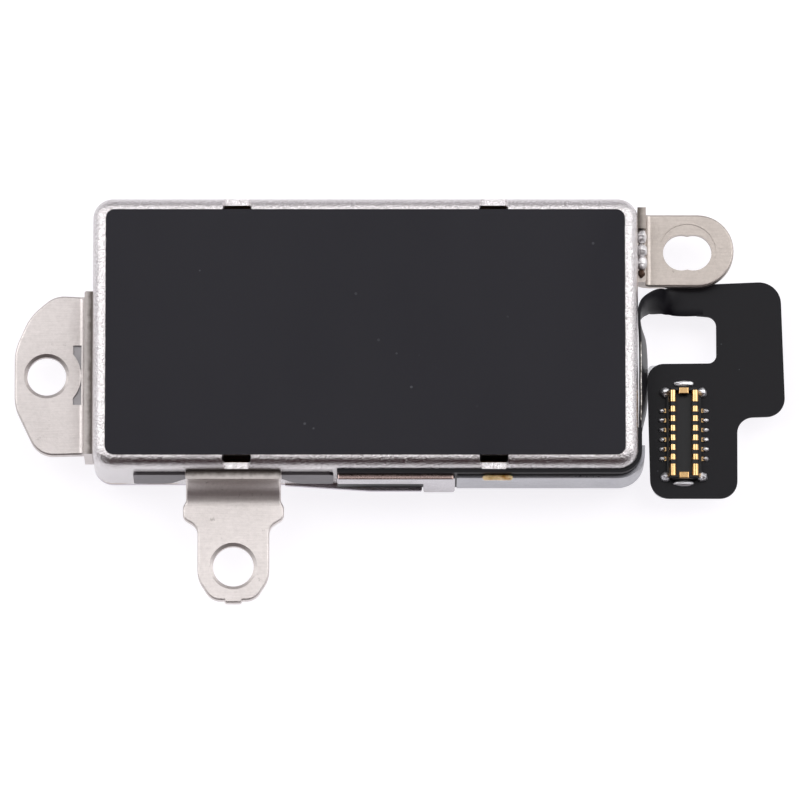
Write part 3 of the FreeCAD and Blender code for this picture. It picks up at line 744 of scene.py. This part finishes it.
# Each kind of solder joint: how far its foot is past the housing, and its reach along each axis.
SIGNAL_FOOT = 0.18 * MM
SIGNAL_REACH = (0.165, 0.105, 0.16)
POWER_FOOT = 0.03 * MM
POWER_REACH = (0.25, 0.22, 0.32)
BACK_FOOT = 0.28 * MM
BACK_REACH = (0.47, 0.16, 0.17)
FRONT_FOOT = 0.14 * MM
FRONT_REACH = (0.47, 0.15, 0.17)
SOLDER_SEED = 20
header_resin = coated_plastic(
    "header_resin", (0.010, 0.010, 0.012, 1), (0.28, 0.42), 0.002 * MM, 9000.0,
    specks=(1500.0, 0.03), specular=0.32,
)
dress("header_housing", header_resin)
contact_gold = metal_material(
    "contact_gold", 0.002 * MM, tone=(0.80, 0.54, 0.26), shade=(0.50, 0.29, 0.12),
    grain=(9000.0, 0.3), lines=0.1, stains=0.4, pits=0.05, satin=(0.12, 0.24),
)
for name in ("signal_contacts", "power_contacts", "holddown_clips"):
    dress(name, contact_gold)
tin_solder = metal_material(
    "tin_solder", 0.004 * MM, tone=(0.90, 0.90, 0.92), shade=(0.62, 0.62, 0.66),
    grain=(5000.0, 0.2), lines=0.0, stains=0.3, pits=0.05, satin=(0.4, 0.52),
)


def solder_spots():
    """Foot and reach of each solder joint round the header, on the pad's upper face."""
    low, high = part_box("header_housing")
    middle = (low + high) / 2
    half_w = (high.x - low.x) / 2
    half_l = (high.y - low.y) / 2
    spots = []
    for row in range(CONTACT_ROWS):
        y = (row - (CONTACT_ROWS - 1) / 2) * CONTACT_PITCH
        spots += [(side * (half_w + SIGNAL_FOOT), y, SIGNAL_REACH) for side in (-1, 1)]
    for end in (-1, 1):
        spots += [(side * (half_w + POWER_FOOT), end * POWER_Y, POWER_REACH) for side in (-1, 1)]
    spots.append((0, half_l + BACK_FOOT, BACK_REACH))
    spots.append((0, -half_l - FRONT_FOOT, FRONT_REACH))
    centre = Vector((middle.x, middle.y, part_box("flex_tail")[1].z))
    return [(centre + Vector((x, y, 0)), Vector(reach) * MM) for x, y, reach in spots]


def add_solder():
    soup = bmesh.new()
    for seed, (foot, reach) in enumerate(solder_spots()):
        add_mound(soup, foot, reach, seed + SOLDER_SEED, ripple=0.03, lumps=0.16, flat=0.38)
    solder = add_piece("solder_fillets", soup, tin_solder)
    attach(solder, "tail")
    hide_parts("solder_joints")


add_solder()

# ------------------------------------------------------------------ inner circuit and coils
# An amber polyimide circuit lies on the bottom plate. Two flat racetrack coils of self-bonding
# enamelled copper wire are glued on it, with their ends soldered to four pads. A small position
# sensor sits between them.
CIRCUIT_DARK = (0.42, 0.17, 0.03, 1)
CIRCUIT_PALE = (0.52, 0.24, 0.05, 1)
TRACK_TONE = (0.60, 0.30, 0.10, 1)
TRACK_RATE = 2200.0
TRACK_WANDER = 5.0
COPPER_DARK = (0.72, 0.27, 0.10, 1)
COPPER_PALE = (0.86, 0.42, 0.19, 1)
COIL_BAND = 1.9 * MM
COIL_CORNER = 1.3 * MM
COIL_CORNER_STEPS = 9
WIRE_PITCH = 0.116 * MM
WIRE_PROFILE = ((0.0, -0.42), (0.25, -0.06), (0.5, 0.0), (0.75, -0.06))


def circuit_material():
    """Amber film over copper tracks that run along the can, with darker gaps between them."""
    material, tree, shader = start_material("amber_circuit", roughness=0.32)
    bend = noise_value(tree, place_vector(tree, (1, 0.2, 1)), 260.0, 1.0)
    lane = math_node(tree, "MULTIPLY", place_axes(tree)[1], TRACK_RATE)
    lane = math_node(tree, "ADD", lane, math_node(tree, "MULTIPLY", bend, TRACK_WANDER))
    track = remap(tree, math_node(tree, "SINE", lane), -0.1, 0.15)
    stain = remap(tree, noise_value(tree, place_vector(tree), 700.0, 3.0), 0.3, 0.7)
    film = blend_colour(tree, stain, CIRCUIT_DARK, CIRCUIT_PALE)
    tree.links.new(blend_colour(tree, track, film, TRACK_TONE), shader.inputs["Base Color"])
    tree.links.new(math_node(tree, "MULTIPLY", track, 0.5), shader.inputs["Metallic"])
    add_bump(tree, shader, track, 0.01 * MM)
    return material


def copper_material():
    """Copper under a clear coat of enamel."""
    material, tree, shader = start_material("enamelled_copper", metallic=1.0)
    tone = remap(tree, noise_value(tree, place_vector(tree), 1500.0, 3.0), 0.3, 0.7)
    colour = blend_colour(tree, tone, COPPER_DARK, COPPER_PALE)
    tree.links.new(colour, shader.inputs["Base Color"])
    tree.links.new(remap(tree, tone, 0.0, 1.0, 0.18, 0.36), shader.inputs["Roughness"])
    shader.inputs["Coat Weight"].default_value = 0.6
    shader.inputs["Coat Roughness"].default_value = 0.12
    add_bump(tree, shader, noise_value(tree, place_vector(tree), 9000.0, 2.0), 0.004 * MM)
    return material


dress("inner_circuit", circuit_material())
enamelled_copper = copper_material()
dress("position_sensor", header_resin)


def racetrack(half_l, half_w, radius):
    """Rounded rectangle as (point, outward) pairs, anticlockwise."""
    route = []
    for x_side, y_side, start in ((1, 1, 0.0), (-1, 1, 0.5), (-1, -1, 1.0), (1, -1, 1.5)):
        centre = Vector((x_side * (half_l - radius), y_side * (half_w - radius), 0))
        for step in range(COIL_CORNER_STEPS + 1):
            turn = math.pi * (start + 0.5 * step / COIL_CORNER_STEPS)
            out = Vector((math.cos(turn), math.sin(turn), 0))
            route.append((centre + out * radius, out))
    return route


def winding_rim(band, height):
    """Cross-section of a winding as (out, up) pairs: a round bump for each wire on its skin."""
    across = round(band / WIRE_PITCH)
    layers = round(height / WIRE_PITCH)
    wide = band / across
    tall = height / layers
    rim = []
    sides = (
        (across, (-band / 2, 0), (wide, 0), (0, -1)),
        (layers, (band / 2, 0), (0, tall), (1, 0)),
        (across, (band / 2, height), (-wide, 0), (0, 1)),
        (layers, (-band / 2, height), (0, -tall), (-1, 0)),
    )
    for count, corner, step, out in sides:
        for turn in range(count):
            for share, swell in WIRE_PROFILE:
                along = turn + share
                rise = swell * WIRE_PITCH / 2
                rim.append([corner[k] + step[k] * along + out[k] * rise for k in (0, 1)])
    return rim


def add_coil(node):
    """Winding that fills the CAD coil's box: a ring of the bumpy section round a racetrack."""
    low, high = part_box(node)
    middle = (low + high) / 2
    half_l = (high.x - low.x) / 2
    half_w = (high.y - low.y) / 2
    rim = winding_rim(COIL_BAND, high.z - low.z)
    route = racetrack(half_l - COIL_BAND / 2, half_w - COIL_BAND / 2, COIL_CORNER)
    sections = []
    for spot, out in route:
        centre = Vector((middle.x + spot.x, middle.y + spot.y, low.z))
        sections.append([centre + out * a + Vector((0, 0, b)) for a, b in rim])
    soup = bmesh.new()
    add_loft(soup, sections, closed=True)
    winding = add_piece(node + "_winding", soup, enamelled_copper)
    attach(winding, "case")
    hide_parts(node)


# The coils' four wire ends, in millimetres: where each pad is along the can, and how far its wire
# leans on its way from the pad to the coil.
LEADS = ((-4.0, 0.25), (-2.2, -0.25), (2.2, 0.25), (4.0, -0.25))
LEAD_R = 0.05 * MM
LEAD_STEPS = 6
LEAD_MOUND = Vector((0.29, 0.29, 0.2)) * MM
LEAD_SEED = 60


def add_lead_solder():
    low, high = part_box("coil_leads")
    foot_y = (low.y + high.y) / 2
    soup = bmesh.new()
    for seed, (x, _) in enumerate(LEADS):
        foot = Vector((x * MM, foot_y, low.z))
        add_mound(soup, foot, LEAD_MOUND, seed + LEAD_SEED, lumps=0.2)
    mounds = add_piece("lead_solder", soup, tin_solder)
    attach(mounds, "case")
    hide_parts("coil_leads")


def add_lead_wires():
    """Each wire end loops out of its solder mound, up and onto the edge of its coil."""
    low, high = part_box("coil_leads")
    foot_y = (low.y + high.y) / 2
    coil_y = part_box("coil_left")[0].y
    soup = bmesh.new()
    for x, lean in LEADS:
        stations = (
            (x * MM, foot_y, low.z + 0.17 * MM),
            ((x + 0.4 * lean) * MM, foot_y + 0.35 * MM, low.z + 0.32 * MM),
            ((x + lean) * MM, coil_y + 0.02 * MM, low.z + 0.45 * MM),
            ((x + 2 * lean) * MM, coil_y + 0.12 * MM, low.z + 0.55 * MM),
        )
        route = [Vector(spot) for spot in smooth_route(stations, LEAD_STEPS)]
        sections = []
        for i, spot in enumerate(route):
            along = (route[min(i + 1, len(route) - 1)] - route[max(i - 1, 0)]).normalized()
            level = along.cross(Vector((0, 0, 1))).normalized()
            sections.append(round_rim(spot, level * LEAD_R, level.cross(along) * LEAD_R))
        add_loft(soup, sections)
    wires = add_piece("lead_wires", soup, enamelled_copper)
    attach(wires, "case")


add_coil("coil_left")
add_coil("coil_right")
add_lead_solder()
add_lead_wires()

# ------------------------------------------------------------------ springs, plates and bumpers
# Folded leaf springs of stainless strip hold the weight between the can's end walls. Each is
# laser-welded to a small steel plate at both ends. Rubber bumpers glued to the bottom plate stop
# the weight.
SPRING_T = 0.18 * MM
SPRING_BEND = 0.8 * MM
CREST_BEND = 0.42 * MM
CREST_HALF = 0.5 * MM
spring_steel = metal_material(
    "spring_steel", 0.002 * MM, tone=(0.66, 0.64, 0.61), shade=(0.50, 0.47, 0.43),
    grain=(7000.0, 0.2), lines=0.5, stains=0.3, pits=0.1, satin=(0.18, 0.32),
)
for name in ("anchor_plate", "weight_plate"):
    dress(name + "_left", spring_steel)
    dress(name + "_right", spring_steel)


def turned_route(corners, steps=10):
    """Line through (x, y, radius) corners with each corner rounded by its radius."""
    route = [Vector(corners[0][:2])]
    for before, here, after in zip(corners, corners[1:], corners[2:]):
        spot = Vector(here[:2])
        back = (Vector(before[:2]) - spot).normalized()
        on = (Vector(after[:2]) - spot).normalized()
        half = back.angle(on) / 2
        centre = spot + (back + on).normalized() * (here[2] / math.sin(half))
        first = spot + back * (here[2] / math.tan(half)) - centre
        last = spot + on * (here[2] / math.tan(half)) - centre
        sweep = first.angle_signed(last)
        for step in range(steps + 1):
            turn = -sweep * step / steps
            arm = Vector((
                first.x * math.cos(turn) - first.y * math.sin(turn),
                first.x * math.sin(turn) + first.y * math.cos(turn),
            ))
            route.append(centre + arm)
    route.append(Vector(corners[-1][:2]))
    return route


def add_spring(side):
    """Leaf spring of one end; side is 1 at the right and -1 at the left, its half-turned twin."""
    name = "spring_right" if side > 0 else "spring_left"
    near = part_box("weight_plate_right")[1].x + SPRING_T / 2
    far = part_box("anchor_plate_right")[0].x - SPRING_T / 2
    middle = (near + far) / 2
    low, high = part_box("spring_right")
    plate_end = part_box("anchor_plate_right")[1].y
    crest = high.y - SPRING_T / 2
    line = turned_route([
        (near, low.y, 0),
        (near, plate_end, SPRING_BEND),
        (middle - CREST_HALF, crest, CREST_BEND),
        (middle + CREST_HALF, crest, CREST_BEND),
        (far, plate_end, SPRING_BEND),
        (far, low.y, 0),
    ])
    rim = strap_rim(high.z - low.z, SPRING_T)
    sections = []
    for i, spot in enumerate(line):
        along = (line[min(i + 1, len(line) - 1)] - line[max(i - 1, 0)]).normalized()
        out = Vector((along.y, -along.x, 0))
        centre = Vector((spot.x, spot.y, (low.z + high.z) / 2))
        ring = [centre + Vector((0, 0, a)) + out * b for a, b in rim]
        sections.append([Vector((side * p.x, side * p.y, p.z)) for p in ring])
    soup = bmesh.new()
    add_loft(soup, sections)
    spring = add_piece(name + "_leaf", soup, spring_steel, sharp=50)
    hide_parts(name)
    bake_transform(spring)


add_spring(1)
add_spring(-1)
bumper_rubber = coated_plastic(
    "bumper_rubber", (0.014, 0.013, 0.012, 1), (0.6, 0.8), 0.01 * MM, 3200.0,
)
dress("end_bumper_left", bumper_rubber)
dress("end_bumper_right", bumper_rubber)

# ------------------------------------------------------------------ weight, magnets and yoke
# The moving weight is sintered tungsten alloy, ground on its faces. Four nickel-plated neodymium
# bars sit in a pocket under it, on a soft-iron yoke plate that closes their field.
tungsten = metal_material(
    "tungsten_alloy", 0.005 * MM, tone=(0.42, 0.41, 0.41), shade=(0.28, 0.275, 0.28),
    grain=(5200.0, 0.6), lines=0.3, stains=0.2, pits=0.5, satin=(0.34, 0.52),
)
magnet_nickel = metal_material(
    "magnet_nickel", 0.002 * MM, tone=(0.72, 0.69, 0.64), shade=(0.60, 0.57, 0.52),
    grain=(6500.0, 0.25), lines=0.0, stains=0.35, pits=0.1, satin=(0.14, 0.26),
)
yoke_zinc = metal_material(
    "yoke_zinc", 0.003 * MM, tone=(0.55, 0.56, 0.58), shade=(0.40, 0.41, 0.44),
    grain=(3800.0, 0.5), lines=0.2, stains=0.4, pits=0.2, satin=(0.26, 0.42),
)
dress("weight_block", tungsten)
dress("yoke_plate", yoke_zinc)
for number in range(1, 5):
    dress("magnet_%d" % number, magnet_nickel)

# ------------------------------------------------------------------ studio
# Pale floor just under the can, one soft box over and behind it, one large soft box on each side,
# and an even room that is dark only where the camera stands. The lens is long and looks nearly
# straight down.
FLOOR_HALF = 2.0
FLOOR_GAP = 0.02 * MM
FLOOR_TONE = (0.30, 0.30, 0.30, 1)
FLOOR_GLOW = (0.98, 0.965, 1, 1)
FLOOR_GLOW_STRENGTH = 0.85
OVERHEAD_PLACE = (0, 0.32, 0.77)
OVERHEAD_SIZE = (0.8, 0.5)
OVERHEAD_RADIANCE = 0.52
SIDE_PLACE = (0.50, 0.22, 0.60)
SIDE_SIZE = (0.5, 0.85)
SIDE_RADIANCE = 2.1
TILT = math.radians(11.3)
DISTANCE = 0.5
VIEW_WIDTH = 35.99 * MM
SENSOR = 36.0
LOOK_OFFSET = Vector((1.563, -3.142, 0)) * MM
ROOM_TONE = (0.50, 0.49, 0.50, 1)
DARK_TONE = (0.045, 0.024, 0.026, 1)
DARK_TILT = math.radians(46)

# The dark patch is full up to the first angle from its middle and gone from the second, as cosines.
DARK_WITHIN = 0.84
LIT_BEYOND = 0.50


def add_floor():
    mesh = bpy.data.meshes.new("floor")
    level = cad_box[0].z - FLOOR_GAP
    signs = [(-1, -1), (1, -1), (1, 1), (-1, 1)]
    corners = [(x * FLOOR_HALF, y * FLOOR_HALF, level) for x, y in signs]
    mesh.from_pydata(corners, [], [(0, 1, 2, 3)])
    floor = bpy.data.objects.new("floor", mesh)
    scene.collection.objects.link(floor)
    material, _, shader = start_material("pale_floor", roughness=0.9, colour=FLOOR_TONE)
    shader.inputs["Specular IOR Level"].default_value = 0.1
    shader.inputs["Emission Color"].default_value = FLOOR_GLOW
    shader.inputs["Emission Strength"].default_value = FLOOR_GLOW_STRENGTH
    mesh.materials.append(material)


def add_light(name, place, size, radiance):
    """Soft box aimed at the can; radiance is how bright its face looks."""
    light = bpy.data.lights.new(name, "AREA")
    light.shape = "RECTANGLE"
    light.size, light.size_y = size
    light.energy = radiance * math.pi * size[0] * size[1]
    lamp = bpy.data.objects.new(name, light)
    lamp.location = place
    lamp.rotation_mode = "QUATERNION"
    lamp.rotation_quaternion = (-Vector(place)).to_track_quat("-Z", "Y")
    scene.collection.objects.link(lamp)


def add_camera():
    """Camera over the can's top, tilted a little towards its front wall."""
    low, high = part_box("top_cover")
    can_top = Vector(((low.x + high.x) / 2, (low.y + high.y) / 2, high.z))
    data = bpy.data.cameras.new("camera")
    data.sensor_width = SENSOR
    data.lens = SENSOR * DISTANCE / VIEW_WIDTH
    data.clip_start = 0.01
    data.clip_end = 10
    camera = bpy.data.objects.new("camera", data)
    back = Vector((0, -math.sin(TILT), math.cos(TILT)))
    camera.location = can_top + LOOK_OFFSET + back * DISTANCE
    camera.rotation_mode = "QUATERNION"
    camera.rotation_quaternion = back.to_track_quat("Z", "Y")
    scene.collection.objects.link(camera)
    scene.camera = camera


def add_room():
    """Even grey room with a dark patch up in front, where the camera and its operator stand."""
    world = bpy.data.worlds.new("studio")
    world.use_nodes = True
    tree = world.node_tree
    where = tree.nodes.new("ShaderNodeTexCoord")
    facing = tree.nodes.new("ShaderNodeVectorMath")
    facing.operation = "DOT_PRODUCT"
    tree.links.new(where.outputs["Generated"], facing.inputs[0])
    facing.inputs[1].default_value = (0, -math.sin(DARK_TILT), math.cos(DARK_TILT))
    lit = remap(tree, facing.outputs["Value"], DARK_WITHIN, LIT_BEYOND)
    colour = blend_colour(tree, lit, DARK_TONE, ROOM_TONE)
    tree.links.new(colour, tree.nodes["Background"].inputs["Color"])
    scene.world = world


add_floor()
add_light("overhead", OVERHEAD_PLACE, OVERHEAD_SIZE, OVERHEAD_RADIANCE)
add_light("left_box", (-SIDE_PLACE[0], *SIDE_PLACE[1:]), SIDE_SIZE, SIDE_RADIANCE)
add_light("right_box", SIDE_PLACE, SIDE_SIZE, SIDE_RADIANCE)
add_camera()
add_room()
scene.view_settings.view_transform = "Standard"

bpy.context.view_layer.update()
